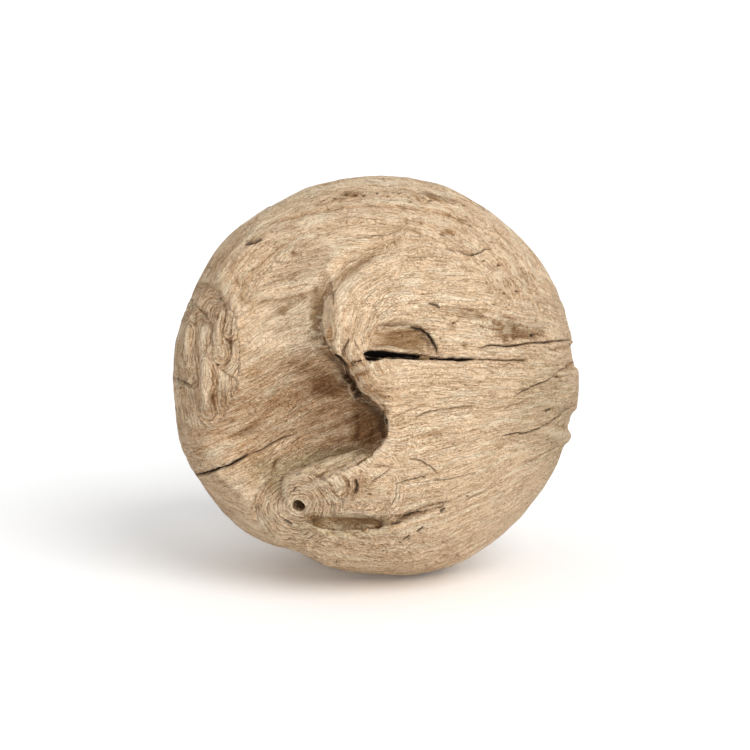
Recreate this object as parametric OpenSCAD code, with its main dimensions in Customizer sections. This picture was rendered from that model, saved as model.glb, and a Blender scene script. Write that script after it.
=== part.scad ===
// A ball carved from one piece of old, weathered root wood.
// It is shown as the eye meets it: the front faces -Y, +X is to the right and +Z is up.
// A place on the front is [right, up], each a share of the ball's half width and half height
// from its centre, as seen by an eye that looks down on it by view_tilt.

/* [Ball] */
// Width of the ball, left to right
ball_w = 434; // [300:1:600]
// Depth of the ball, front to back
ball_d = 430; // [300:1:600]
// Height of the ball on its worn foot
ball_h = 427; // [300:1:600]
// Height of the swells and flats that the carving left on the skin
swell = 10; // [0:0.5:14]
// How far down the eye looks when it sees the places on the front as given
view_tilt = 10; // [0:1:20]

/* [Foot] */
// How much the foot is worn away under the ball
foot_wear = 2.2; // [1:0.1:6]

/* [Main hollow] */
// Greatest depth of the hollow, from the skin straight back to its floor
hollow_depth = 104; // [50:1:130]
// How far the hollow runs in under its right lip
undercut = 24; // [0:1:40]
// Depth of the oval dish at the upper left
dish_depth = 22; // [8:1:34]
// Radius of the gouge that made it
dish_r = 70; // [50:1:90]
// Depth of the valley that climbs round the right bulge
valley_depth = 14; // [5:1:24]
// Radius of its gouge
valley_r = 24; // [16:1:32]
// Depth of the short valley beside the flat tongue at the lower left
tongue_depth = 9; // [2:0.5:14]
// Radius of its gouge
tongue_r = 18; // [12:1:24]

/* [Branch] */
// Radius of the dead branch whose end shows below the main hollow
branch_r = 27; // [20:1:34]
// Bore of the knot hole in the branch's end
knot_d = 14; // [6:0.5:20]
// Depth of the knot hole
knot_depth = 48; // [10:1:80]
// How far the knot hole turns to the right as it goes in
knot_turn = 4; // [0:1:50]
// How far the knot hole climbs as it goes in
knot_climb = 8; // [0:1:50]
// Depth of the trough under the branch
trough_depth = 26; // [8:1:36]
// Radius of its gouge
trough_r = 15; // [8:0.5:20]

/* [Ridges] */
// Height of the worn ridges of the burl, the rims and the lips over the skin
ridge_height = 5; // [1:0.5:8]
// Radius of their rounded backs
ridge_r = 10; // [8:0.5:14]
// Height of the knobs at the tip of the nose
knob_height = 6; // [1:0.5:9]
// Radius of the knobs
knob_r = 9; // [7:0.5:12]
// Depth of the dents in the right half
dent_depth = 2.5; // [1:0.5:6]
// Radius of the gouge that made them
dent_r = 34; // [24:1:44]

/* [Splits] */
// Widest gap of the main split
split_w = 7; // [2:0.5:12]
// Depth of the main split
split_depth = 55; // [15:1:80]
// Depth of the crescent chip above the main split
chip_depth = 11; // [4:0.5:18]
// Radius of its gouge
chip_r = 17; // [10:0.5:24]
// Widest gap of the long crack at the lower left
crack_w = 4; // [1:0.5:8]
// Depth of the long crack
crack_depth = 22; // [5:1:40]
// Width of the shallow grooves that follow the grain
groove_w = 8; // [3:0.5:14]
// Depth of those grooves
groove_depth = 5; // [2:0.5:9]

/* [Hidden] */

// Steps between the chosen stations of a cut, and sides of a round gouge
path_steps = 2;
gouge_sides = 16;
ridge_sides = 12;
cap_rings = 3;
// Steps across the hollow's floor and down its wall
floor_steps = 16;
wall_steps = 5;
// Rows and columns of the skin
skin_rows = 34;
skin_cols = 66;

half = [ball_w / 2, ball_d / 2, (ball_h + foot_wear) / 2];

// Swells and flats of the skin: [angle round the front from the right, angle towards the eye,
// height as a share of swell, spread in degrees]
swells = [
    [4, 0, -0.24, 9], [60, 0, 0.14, 12], [96, 0, -0.16, 14], [119, 0, -0.2, 8],
    [137, 0, 0.24, 9], [158, 0, -0.14, 9], [172, 0, 0.16, 7], [190, 0, 0.2, 8],
    [203, 0, 0.42, 8], [222, 0, 0.24, 11], [247, 0, -0.95, 9], [262, 0, -0.34, 11],
    [298, 0, 0.32, 12], [328, 0, 0.3, 13], [20, 55, 0.3, 22], [75, 50, 0.25, 20],
    [330, 50, 0.2, 20], [60, -50, -0.35, 24], [180, -45, 0.3, 25], [285, -50, -0.3, 22],
    [0, -85, 0.25, 26]
];

// Level slices through the main hollow: [up, left end, lip, share of its depth,
// place of the deepest part from left to lip, share of that depth left at the lip, share of the undercut]
hollow_slices = [
    [-0.67, -0.56, -0.5, 0, 0.5, 0, 0], [-0.6, -0.62, -0.42, 0.16, 0.55, 0.3, 0],
    [-0.52, -0.72, -0.28, 0.4, 0.66, 0.4, 0], [-0.44, -0.86, -0.12, 0.68, 0.76, 0.5, 0.1],
    [-0.36, -0.95, 0, 0.88, 0.8, 0.6, 0.5], [-0.28, -0.97, 0.046, 0.98, 0.82, 0.7, 0.9],
    [-0.2, -0.92, 0.035, 1, 0.82, 0.72, 1], [-0.115, -0.84, -0.025, 0.94, 0.8, 0.75, 0.7],
    [-0.06, -0.79, -0.09, 0.88, 0.8, 0.8, 0.5], [0.04, -0.74, -0.122, 0.78, 0.74, 0.85, 0.3],
    [0.14, -0.7, -0.187, 0.6, 0.66, 0.9, 0.1], [0.3, -0.66, -0.19, 0.46, 0.55, 0.85, 0],
    [0.44, -0.67, -0.205, 0.22, 0.55, 0.7, 0], [0.56, -0.62, -0.27, 0.05, 0.6, 0.5, 0],
    [0.66, -0.5, -0.36, 0, 0.5, 0, 0]
];
// Stations of the gouges and splits: [right, up, share of the depth, share of the radius or width]
dish_path = [
    [-0.68, 0.46, 0.3, 0.9], [-0.58, 0.49, 0.85, 1], [-0.44, 0.51, 1, 1], [-0.32, 0.53, 0.5, 0.9]
];
valley_path = [
    [-0.24, 0.2, 1, 1], [-0.24, 0.34, 1, 0.95], [-0.2, 0.46, 0.8, 0.85],
    [-0.1, 0.56, 0.5, 0.8], [0.03, 0.61, 0.25, 0.7], [0.1, 0.62, 0.05, 0.5]
];
branch_path = [
    [-0.375, -0.61, 0.8, 0.85], [-0.2, -0.575, 0.94, 1], [0.02, -0.53, 1.02, 1.1], [0.25, -0.48, 1.2, 1.2]
];
// Where the knot hole opens in the branch's end
knot_seat = [-0.359, -0.624];
trough_path = [
    [-0.32, -0.695, 0.3, 0.6], [-0.2, -0.7, 0.85, 0.95], [-0.04, -0.7, 1, 1],
    [0.1, -0.69, 0.7, 0.7], [0.21, -0.665, 0.4, 0.45], [0.31, -0.625, 0.15, 0.2]
];
chip_path = [
    [-0.04, 0.15, 0.5, 0.5], [0.05, 0.19, 0.9, 0.85], [0.14, 0.19, 1, 1],
    [0.22, 0.14, 0.8, 0.7], [0.27, 0.1, 0.4, 0.4]
];
split_path = [
    [-0.065, 0.1, 0.3, 0.3], [-0.03, 0.1, 0.9, 0.85], [0.04, 0.1, 1, 1],
    [0.16, 0.09, 0.9, 0.55], [0.3, 0.083, 0.7, 0.4], [0.46, 0.077, 0.45, 0.22],
    [0.62, 0.075, 0.2, 0.12]
];
crack_path = [
    [-0.93, -0.49, 1, 1], [-0.79, -0.465, 1, 0.9], [-0.7, -0.43, 1, 0.8],
    [-0.6, -0.38, 1, 0.7], [-0.5, -0.33, 1, 0.6], [-0.36, -0.26, 1, 0.4]
];
tongue_path = [[-0.45, -0.35, 0.3, 0.7], [-0.49, -0.48, 1, 1], [-0.53, -0.6, 1, 1], [-0.58, -0.69, 0.4, 0.8]];
// Shallow grooves: under the top rim, on both sides of the burl's finger, and in from the notch at the right
groove_paths = [
    [[-0.62, 0.684, 0.3, 0.3], [-0.486, 0.749, 0.7, 0.7], [-0.275, 0.793, 1, 1], [-0.071, 0.813, 1, 1],
        [0.163, 0.8, 1, 0.8], [0.355, 0.771, 0.8, 0.7], [0.488, 0.709, 0.2, 0.3]],
    [[-0.66, 0.34, 0.3, 0.4], [-0.68, 0.26, 1, 0.9], [-0.7, 0.11, 1.2, 1], [-0.765, -0.13, 0.4, 0.4]],
    [[-0.85, 0.24, 0.3, 0.4], [-0.86, 0.17, 1, 0.8], [-0.853, 0.045, 1.2, 0.9], [-0.835, -0.14, 0.4, 0.4]],
    [[0.8, -0.02, 0.4, 0.1], [0.88, 0.02, 1, 0.3], [0.95, 0.035, 1.6, 0.6], [0.99, 0.035, 2, 0.8]]
];
// Dents worn into the right half
dent_paths = [
    [[0.49, 0.56, 1.2, 0.5], [0.55, 0.55, 2, 0.6], [0.614, 0.53, 1.2, 0.4]],
    [[0.52, 0.2, 0.4, 0.5], [0.668, 0.168, 1, 0.8], [0.84, 0.162, 0.8, 0.6]]
];
// Worn ridges: the burl's finger and its two neighbours, the block by the right notch, the swelling
// under the top rim, the crescent's edge, the dish's rim, the bulge's edge, the lower lip and the shelf
// under the trough
ridge_paths = [
    [[-0.71, 0.32, 0.3, 0.5], [-0.747, 0.173, 1.1, 1], [-0.774, 0.044, 1.4, 0.9], [-0.804, -0.152, 0.6, 0.35]],
    [[-0.68, 0.37, 0.2, 0.6], [-0.665, 0.296, 0.5, 0.8], [-0.68, 0.2, 0.5, 0.7], [-0.7, 0.12, 0.1, 0.5]],
    [[-0.834, 0.399, 0.2, 0.6], [-0.885, 0.27, 0.6, 0.8], [-0.9, 0.135, 0.6, 0.8], [-0.895, -0.036, 0.2, 0.6]],
    [[0.86, -0.03, 0.2, 0.8], [0.93, -0.03, 1, 0.9], [0.958, -0.1, 0.6, 0.8]],
    [[-0.53, 0.673, 0.1, 1.6], [-0.35, 0.723, 0.5, 2], [-0.09, 0.745, 0.5, 2.2], [0.176, 0.736, 0.5, 2],
        [0.375, 0.7, 0.1, 1.6]],
    [[0.009, 0.24, 0.1, 0.7], [0.12, 0.262, 0.5, 0.9], [0.21, 0.235, 0.5, 0.9], [0.272, 0.18, 0.5, 0.8],
        [0.3, 0.104, 0.1, 0.6]],
    [[-0.7, 0.38, 0.1, 1], [-0.74, 0.462, 0.4, 1.3], [-0.72, 0.555, 0.4, 1.4], [-0.64, 0.64, 0.1, 1.2]],
    [[-0.18, 0.22, 0.2, 0.9], [-0.17, 0.32, 0.7, 1.2], [-0.125, 0.4, 0.7, 1.5], [-0.06, 0.46, 0.6, 1.5],
        [0.03, 0.55, 0.1, 1]],
    [[-0.05, -0.09, 0.2, 0.8], [0.04, -0.15, 0.5, 0.9], [0.085, -0.221, 0.5, 0.9], [0.08, -0.313, 0.4, 0.9],
        [0.02, -0.39, 0.1, 0.7]],
    [[-0.31, -0.769, 0.1, 1], [-0.132, -0.755, 0.6, 1.2], [0.088, -0.736, 0.1, 1]]
];
// The knobs of the nose
knob_paths = [
    [[-0.165, 0.225, 0.5, 0.8], [-0.178, 0.165, 1, 0.9], [-0.165, 0.115, 0.5, 0.7]],
    [[-0.12, 0.165, 0.5, 0.6], [-0.1, 0.12, 0.9, 0.8], [-0.075, 0.08, 0.6, 0.6]],
    [[-0.115, 0.02, 0.4, 0.7], [-0.055, 0.04, 0.7, 0.9], [0.034, 0.055, 0.3, 0.8]],
    [[-0.095, -0.01, 0.4, 0.6], [-0.065, -0.045, 0.6, 0.7], [-0.045, -0.08, 0.3, 0.6]]
];

function unit(v) = v / norm(v);
function along(angle, rise) = [cos(angle) * cos(rise), -sin(rise), sin(angle) * cos(rise)];
function tilted(p) =
    [p[0], p[1] * cos(view_tilt) + p[2] * sin(view_tilt), p[2] * cos(view_tilt) - p[1] * sin(view_tilt)];
function apart(a, b) = acos(max(-1, min(1, a * b)));

// Height of the skin over the mean ball in a direction
function skin_rise(dir) =
    let (each_rise = [for (s = swells) swell * s[2] * exp(-pow(apart(dir, along(s[0], s[1])) / s[3], 2))])
    each_rise * [for (s = swells) 1];

// A station's place at the given depth under the skin
function place(s, depth) =
    let (
        inside = min(0.9998, norm([s[0], s[1]])),
        seat = [s[0], -sqrt(1 - inside * inside), s[1]],
        dir = seat / norm(seat)
    )
    [dir[0] * (half[0] - depth), dir[1] * (half[1] - depth), dir[2] * (half[2] - depth)];

// How far towards the eye the mean skin lies at a place on the front
function skin_y(right, up) = -half[1] * sqrt(max(0.0001, 1 - right * right - up * up));

// A curve through the stations of a path
function between(a, b, c, d, t) =
    (b * 2 + (c - a) * t + (a * 2 - b * 5 + c * 4 - d) * t * t + (b * 3 - a - c * 3 + d) * t * t * t) / 2;
function curve(path) =
    let (last = len(path) - 1)
    [
        for (i = [0 : last - 1]) for (k = [0 : path_steps - 1])
            between(path[max(i - 1, 0)], path[i], path[i + 1], path[min(i + 2, last)], k / path_steps),
        path[last]
    ];
function tangent(points, i) = unit(points[min(i + 1, len(points) - 1)] - points[max(i - 1, 0)]);

// Faces of a skin over rings of equal size, closed by a flat cap at each end
function ring_faces(rings, sides) = [
    [for (j = [sides - 1 : -1 : 0]) j],
    for (i = [0 : rings - 2]) for (j = [0 : sides - 1]) let (
        a = i * sides + j,
        b = i * sides + (j + 1) % sides
    ) each [[a, b, a + sides], [b, b + sides, a + sides]],
    [for (j = [0 : sides - 1]) (rings - 1) * sides + j]
];

// A round rod along the stations, each middle sunk as far under the skin as given, with rounded ends
module rod(stations, sinks, radii, sides) {
    centres = [for (i = [0 : len(stations) - 1]) place(stations[i], sinks[i])];
    last = len(centres) - 1;
    cap = [for (k = [1 : cap_rings]) 90 * k / (cap_rings + 1)];
    rings = [
        for (a = cap) [centres[0] - tangent(centres, 0) * radii[0] * cos(a), radii[0] * sin(a), 0],
        for (i = [0 : last]) [centres[i], radii[i], i],
        for (k = [cap_rings - 1 : -1 : 0])
            [centres[last] + tangent(centres, last) * radii[last] * cos(cap[k]), radii[last] * sin(cap[k]), last]
    ];
    points = [
        for (g = rings) let (
            ahead = tangent(centres, g[2]),
            side = unit(cross(ahead, centres[g[2]])),
            out = cross(side, ahead)
        ) for (j = [0 : sides - 1])
            g[0] + (side * cos(360 * j / sides) + out * sin(360 * j / sides)) * g[1]
    ];
    polyhedron(points, ring_faces(len(rings), sides), convexity = 6);
}

// A round gouge: a rod whose underside is as deep as the stations say
module gouge(path, depth, radius) {
    stations = curve(path);
    rod(
        stations, [for (s = stations) depth * s[2] - radius * s[3]], [for (s = stations) radius * s[3]],
        gouge_sides
    );
}

// A worn ridge: a rod of which only the back stands out of the skin
module ridge(path, height, radius) {
    stations = curve(path);
    rod(
        stations, [for (s = stations) radius * s[3] - height * s[2]], [for (s = stations) radius * s[3]],
        ridge_sides
    );
}

// A split: a wedge that is open at the skin and closes at its depth
module split(path, depth, width) {
    stations = curve(path);
    seats = [for (s = stations) place(s, 0)];
    points = [
        for (i = [0 : len(stations) - 1]) let (
            s = stations[i],
            ahead = tangent(seats, i),
            side = unit(cross(ahead, seats[i])) * width * s[3] / 2,
            out = unit(seats[i])
        ) each [
            seats[i] + side * 1.2 + out * swell,
            seats[i] - side * 1.2 + out * swell,
            seats[i] - side - out * depth * s[2] * 0.5,
            seats[i] - out * depth * s[2],
            seats[i] + side - out * depth * s[2] * 0.5
        ]
    ];
    polyhedron(points, ring_faces(len(stations), 5), convexity = 6);
}

// The rough ball before the hollows are cut, swelled and then fitted to its overall size
module rough_ball() {
    dirs = [
        [0, 0, -1],
        for (i = [1 : skin_rows - 1]) for (j = [0 : skin_cols - 1]) let (
            up = -90 + 180 * i / skin_rows,
            turn = 360 * j / skin_cols
        ) [cos(up) * cos(turn), cos(up) * sin(turn), sin(up)],
        [0, 0, 1]
    ];
    swelled = [for (d = dirs) let (rise = skin_rise(d)) [for (k = [0 : 2]) tilted(d)[k] * (half[k] + rise)]];
    low = [for (k = [0 : 2]) min([for (p = swelled) p[k]])];
    high = [for (k = [0 : 2]) max([for (p = swelled) p[k]])];
    points = [
        for (p = swelled) [for (k = [0 : 2]) ((p[k] - low[k]) / (high[k] - low[k]) * 2 - 1) * half[k]]
    ];
    top = len(dirs) - 1;
    faces = [
        for (j = [0 : skin_cols - 1]) [0, 1 + j, 1 + (j + 1) % skin_cols],
        for (i = [0 : skin_rows - 3]) for (j = [0 : skin_cols - 1]) let (
            a = 1 + i * skin_cols + j,
            b = 1 + i * skin_cols + (j + 1) % skin_cols
        ) each [[a, a + skin_cols, b], [b, a + skin_cols, b + skin_cols]],
        for (j = [0 : skin_cols - 1])
            [top, top - skin_cols + (j + 1) % skin_cols, top - skin_cols + j]
    ];
    polyhedron(points, faces, convexity = 6);
}

// Depth of the hollow's floor at a share of the way from its left end to its lip
function floor_share(t, deep, left_over) =
    t < deep ? pow(sin(90 * t / deep), 1.4) : 1 - (1 - left_over) * pow((t - deep) / (1 - deep), 2);

// The main hollow, lofted through its level slices: floor, wall under the lip, and open front
module hollow() {
    slices = curve(hollow_slices);
    points = [
        for (s = slices) let (
            up = s[0] * half[2],
            left = s[1] * half[0],
            lip = s[2] * half[0],
            deep = s[3] * hollow_depth,
            under = s[6] * undercut,
            lip_y = skin_y(s[2], s[0])
        ) each concat(
            [for (k = [0 : floor_steps]) let (
                t = k / floor_steps,
                x = left + (lip - left) * t
            ) [x, skin_y(x / half[0], s[0]) + deep * floor_share(t, s[4], s[5]) - (1 - t) * 2, up]],
            [for (k = [1 : wall_steps]) let (t = k / wall_steps)
                [lip + under * sin(180 * t), lip_y + deep * s[5] * (1 - t) - 2 * t, up]],
            [[lip + 1, -half[1] * 1.2, up], [left - 1, -half[1] * 1.2, up]]
        )
    ];
    polyhedron(points, ring_faces(len(slices), floor_steps + wall_steps + 3), convexity = 8);
}

module hollows() {
    hollow();
    gouge(dish_path, dish_depth, dish_r);
    gouge(valley_path, valley_depth, valley_r);
    gouge(tongue_path, tongue_depth, tongue_r);
}

module ridges() {
    gouge(branch_path, branch_r * 2, branch_r);
    for (path = ridge_paths) ridge(path, ridge_height, ridge_r);
    for (path = knob_paths) ridge(path, knob_height, knob_r);
}

module cracks() {
    gouge(trough_path, trough_depth, trough_r);
    gouge(chip_path, chip_depth, chip_r);
    split(split_path, split_depth, split_w);
    split(crack_path, crack_depth, crack_w);
    for (path = groove_paths) split(path, groove_depth, groove_w);
    for (path = dent_paths) gouge(path, dent_depth, dent_r);
}

module carved_ball() {
    difference() {
        union() {
            difference() {
                rough_ball();
                rotate([-view_tilt, 0, 0]) hollows();
            }
            rotate([-view_tilt, 0, 0]) ridges();
        }
        rotate([-view_tilt, 0, 0]) cracks();
    }
}

// The knot hole bored into the end of the branch, along the dead pith
module knot_hole() {
    translate(place(knot_seat, 0)) rotate([90 + knot_climb, 0, -knot_turn])
        translate([0, 0, -knot_depth]) cylinder(h = knot_depth + branch_r, d = knot_d, $fn = 32);
}

// The ball set on its foot: worn flat below, and bored at the knot
module wooden_ball() color("burlywood") difference() {
    translate([0, 0, half[2] - foot_wear]) difference() {
        resize(half * 2) carved_ball();
        rotate([-view_tilt, 0, 0]) knot_hole();
    }
    translate([0, 0, -half[2]]) cube(half[2] * 2, center = true);
}

wooden_ball();
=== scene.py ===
import math

import bmesh
import bpy
import numpy as np
from bpy.props import FloatProperty, FloatVectorProperty, IntProperty, PointerProperty
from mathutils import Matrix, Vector


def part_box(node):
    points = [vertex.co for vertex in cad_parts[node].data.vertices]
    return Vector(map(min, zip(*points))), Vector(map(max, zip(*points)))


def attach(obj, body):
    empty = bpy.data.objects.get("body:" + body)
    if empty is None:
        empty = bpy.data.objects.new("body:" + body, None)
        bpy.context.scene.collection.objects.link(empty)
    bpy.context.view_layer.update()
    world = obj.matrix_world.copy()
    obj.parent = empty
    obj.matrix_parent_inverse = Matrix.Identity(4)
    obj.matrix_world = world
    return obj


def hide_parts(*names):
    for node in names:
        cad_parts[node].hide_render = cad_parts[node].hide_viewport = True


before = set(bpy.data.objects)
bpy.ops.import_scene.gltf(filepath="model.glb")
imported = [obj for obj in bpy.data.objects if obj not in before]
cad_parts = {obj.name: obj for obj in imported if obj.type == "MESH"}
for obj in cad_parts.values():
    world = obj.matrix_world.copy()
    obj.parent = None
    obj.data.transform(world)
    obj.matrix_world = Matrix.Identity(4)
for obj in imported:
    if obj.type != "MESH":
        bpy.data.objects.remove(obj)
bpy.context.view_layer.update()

bl_info = {
    "name": "Weathered root-wood ball",
    "version": (1, 0, 0),
    "blender": (4, 5, 0),
    "location": "View3D > Sidebar > Wooden ball",
    "description": "Dresses a rough carved root-wood ball with grain, splits, rings and weathering",
    "category": "Object",
}

NODE = "wooden_ball"
LOW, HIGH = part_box(NODE)
SIZE = HIGH - LOW

MM = 0.001
# The eye that the places on the front are given for: how far down it looks, and from how far
EYE_DROP = math.radians(10)
EYE_COS, EYE_SIN = math.cos(EYE_DROP), math.sin(EYE_DROP)
EYE_DISTANCE = 3.0
# What the foot has lost, which puts the ball's centre a little under half its height
FOOT_WEAR = 2.2 * MM
CENTRE = Vector((0, 0, (SIZE.z + FOOT_WEAR) / 2 - FOOT_WEAR))
RADIUS = (SIZE.x + SIZE.y + SIZE.z + FOOT_WEAR) / 6
# Large odd numbers that scatter whole numbers evenly, for the noise
SCATTER = (374761393, 668265263, 2147483647, 974711)
STIR = (1274126177, 2246822519)
WORD = 0xFFFFFFFF
FINENESS = 1000003
# Fibre coordinates are kept on the mesh in this many millimetres
FIBRE_UNIT = 100
# The grid that finds the surface nearest to the eye: its cells in millimetres, and how many to a side
GRID_CELL, GRID_COUNT = 3.0, 160
# Where the lamps stand, as seen from the ball, and the width of the camera's sensor in millimetres
KEY_DIRECTION = (0.62, -0.78, 0.8)
FILL_DIRECTION = (0.1, -0.98, 0.12)
SENSOR_WIDTH = 36
# Parts of the lip's length at which its level is measured, and how far to each side of them
LIP_STOPS = np.linspace(0, 1, 31)
LIP_SPAN = 0.03


# Numbers over the surface


def mix(a, b, share):
    return a + (b - a) * share


def smooth(value, low, high):
    """0 below low, 1 above high, and a smooth step between, also with low over high."""
    t = np.clip((value - low) / (high - low), 0, 1)
    return t * t * (3 - 2 * t)


def lattice(ix, iy, iz, seed):
    """A fixed random number from 0 to 1 for each whole-number place."""
    h = sum(value * factor for value, factor in zip((ix, iy, iz, seed), SCATTER))
    h = (h ^ (h >> 13)) * STIR[0] & WORD
    h = (h ^ (h >> 16)) * STIR[1] & WORD
    return (h ^ (h >> 15) & WORD) % FINENESS / FINENESS


def noise(p, size, seed=0):
    """Smooth noise from -1 to 1, whose bumps are about size across."""
    q = p / size + 1000.0
    base = np.floor(q).astype(np.int64)
    f = q - base
    f = f * f * f * (f * (f * 6 - 15) + 10)
    total = np.zeros(len(p))
    for corner in range(8):
        step = [(corner >> k) & 1 for k in range(3)]
        weight = np.ones(len(p))
        for k in range(3):
            weight = weight * (f[:, k] if step[k] else 1 - f[:, k])
        total += weight * lattice(base[:, 0] + step[0], base[:, 1] + step[1], base[:, 2] + step[2], seed)
    return total * 2 - 1


def rough(p, size, seed=0, octaves=3):
    """Noise with finer and weaker bumps laid over the large ones."""
    layers = [noise(p, size / 2**k, seed + 17 * k) / 2**k for k in range(octaves)]
    return sum(layers) / (2 - 0.5 ** (octaves - 1))


def ridged(p, size, seed=0):
    """Noise made of sharp crests, from 0 to 1."""
    return 1 - np.abs(noise(p, size, seed)) * 1.6


def line_distance(places, path):
    """Distance of places to a line of chosen points, and how far along it each is, from 0 to 1. Both may
    have two coordinates, on the front, or three."""
    path = np.array(path, dtype=float)
    best = np.full(len(places), 1e9)
    along = np.zeros(len(places))
    lengths = np.linalg.norm(np.diff(path, axis=0), axis=1)
    done = 0
    for start, step, length in zip(path, np.diff(path, axis=0), lengths):
        t = np.clip((places - start) @ step / length**2, 0, 1)
        d = np.linalg.norm(places - start - t[:, None] * step, axis=1)
        nearer = d < best
        best[nearer] = d[nearer]
        along[nearer] = ((done + t * length) / lengths.sum())[nearer]
        done += length
    return best, along


def ends(place, low, high):
    """0 at both ends of a line and 1 between, for places given as parts of its length."""
    return smooth(np.minimum(place, 1 - place), low, high)


# Meshes as arrays


def read_mesh(mesh):
    points = np.empty(len(mesh.vertices) * 3)
    mesh.vertices.foreach_get("co", points)
    normals = np.empty(len(mesh.vertices) * 3)
    mesh.vertex_normals.foreach_get("vector", normals)
    return points.reshape(-1, 3), normals.reshape(-1, 3)


def write_points(mesh, points):
    mesh.vertices.foreach_set("co", points.astype(np.float32).ravel())
    mesh.update()


def edge_list(mesh):
    edges = np.empty(len(mesh.edges) * 2, dtype=np.int32)
    mesh.edges.foreach_get("vertices", edges)
    return edges.reshape(-1, 2)


def relaxed(values, edges, rounds, share=0.5):
    """Values at the points, each drawn towards the mean of its neighbours. share may differ by point."""
    a, b = edges[:, 0], edges[:, 1]
    n = len(values)
    degree = np.bincount(a, minlength=n) + np.bincount(b, minlength=n)
    flat = values.reshape(n, -1).copy()
    share = np.asarray(share).reshape(-1, 1) if np.ndim(share) else share
    for _ in range(rounds):
        mean = np.stack(
            [
                np.bincount(a, flat[b, k], minlength=n) + np.bincount(b, flat[a, k], minlength=n)
                for k in range(flat.shape[1])
            ],
            axis=1,
        ) / np.maximum(degree, 1)[:, None]
        flat += (mean - flat) * share
    return flat.reshape(values.shape)


def from_centre(points):
    """Points as seen from the ball's centre, in millimetres."""
    return (points - np.array(CENTRE)) / MM


def as_seen(points):
    """Points in the eye's frame: right, away and up from the ball's centre, in millimetres, and the place
    (u, w) on the plane through the centre where the eye sees them."""
    x, y, z = from_centre(points).T
    seen = np.stack([x, y * EYE_COS - z * EYE_SIN, y * EYE_SIN + z * EYE_COS], axis=1)
    near = EYE_DISTANCE / MM / (EYE_DISTANCE / MM + seen[:, 1])
    return seen, seen[:, 0] * near, seen[:, 2] * near


# Places on the front, in millimetres right of and above the ball's centre as the eye sees them

# The middle of the open main split
MAIN_SPLIT = ((-12, 20), (9, 22), (40, 20), (58, 19), (82, 17), (112, 17))

# Splits: the line, the gap's width, its depth and how dark the painted shade in it is, from 0 to 1
SPLITS = (
    # the open main split, from the knobs of the nose to the right
    (((-12, 20), (-2, 20), (9, 22)), 6.6, 20, 1),
    (((4, 22), (22, 21), (40, 20), (58, 19)), 4.4, 18, 1),
    (((50, 19), (66, 18), (82, 17), (98, 17), (112, 17)), 2.2, 12, 1),
    (((104, 17), (118, 17), (132, 16), (150, 16), (166, 17)), 0.7, 3, 0.8),
    # painted shadow along the crescent pocket's raised edge, cut and darkened like a split
    (((67, 22), (65, 31), (60, 41), (50, 49), (37, 53)), 2.2, 3, 0.9),
    (((37, 53), (26, 54), (16, 53), (4, 54)), 0.6, 1, 0.6),
    # drying splits of the right half, from the top down
    (((-24, 147), (-5, 149), (3, 151), (15, 152), (28, 155)), 0.5, 1.5, 0.6),
    (((74, 136), (83, 135), (91, 133), (98, 130), (104, 129), (111, 131), (117, 135), (126, 137)),
     0.8, 2.5, 0.8),
    (((35, 127), (51, 127), (64, 128)), 0.5, 1, 0.5),
    (((110, 28), (120, 32), (131, 32), (142, 31), (154, 32), (170, 35), (184, 35), (197, 37), (214, 38)),
     1.0, 4, 0.9),
    (((150, -24), (167, -13), (176, -10), (185, -7), (191, -2), (199, 5), (209, 9)), 0.7, 3, 0.75),
    (((42, -47), (54, -41), (67, -38), (78, -37), (87, -35), (98, -34), (113, -33)), 0.6, 2, 0.7),
    (((138, -38), (146, -33), (154, -31), (161, -28)), 0.5, 1.5, 0.6),
    (((215, -33), (204, -38), (197, -45), (186, -52), (175, -59), (163, -62), (141, -65), (134, -68)),
     0.8, 3, 0.8),
    (((201, -76), (186, -82), (176, -88), (167, -94), (161, -98)), 0.5, 2, 0.55),
    (((21, -119), (30, -116), (39, -113), (50, -110), (54, -111)), 0.9, 3, 0.9),
    (((35, -91), (43, -91), (51, -94), (58, -98), (64, -102), (67, -106)), 0.7, 2, 0.8),
    (((61, -114), (74, -113), (86, -111), (98, -108), (108, -105)), 0.5, 1.5, 0.6),
    (((-5, -117), (3, -111), (14, -103), (18, -100)), 0.5, 2, 0.6),
    (((24, -154), (43, -148), (54, -142), (64, -139), (78, -137), (85, -137)), 1.0, 4, 0.7),
    (((91, -137), (107, -130), (128, -120), (142, -113)), 0.4, 1, 0.4),
    (((17, -48), (30, -41), (42, -35)), 0.4, 1, 0.5),
    # the long split of the left half
    (((-196, -109), (-181, -106), (-171, -102), (-159, -98), (-146, -91), (-137, -86)), 2.0, 9, 1),
    (((-137, -86), (-128, -83), (-121, -80), (-114, -75), (-107, -71), (-98, -67), (-84, -64)),
     0.7, 3, 0.75),
    (((-112, 122), (-91, 122), (-71, 121)), 0.3, 0.5, 0.35),
    # the cracks between the knobs of the nose
    (((-10, 25), (-7, 21), (-11, 17)), 8.0, 14, 1),
    (((-35, 23), (-33, 30), (-27, 38)), 0.9, 2, 0.6),
    (((-26, 12), (-22, 14), (-14, 16)), 1.0, 3, 0.8),
    (((-22, 38), (-20, 32), (-17, 26)), 0.8, 1.5, 0.5),
    (((-44.5, 23.5), (-38, 19.5), (-33, 14), (-29.5, 9)), 1.6, 4, 0.9),
)

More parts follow.
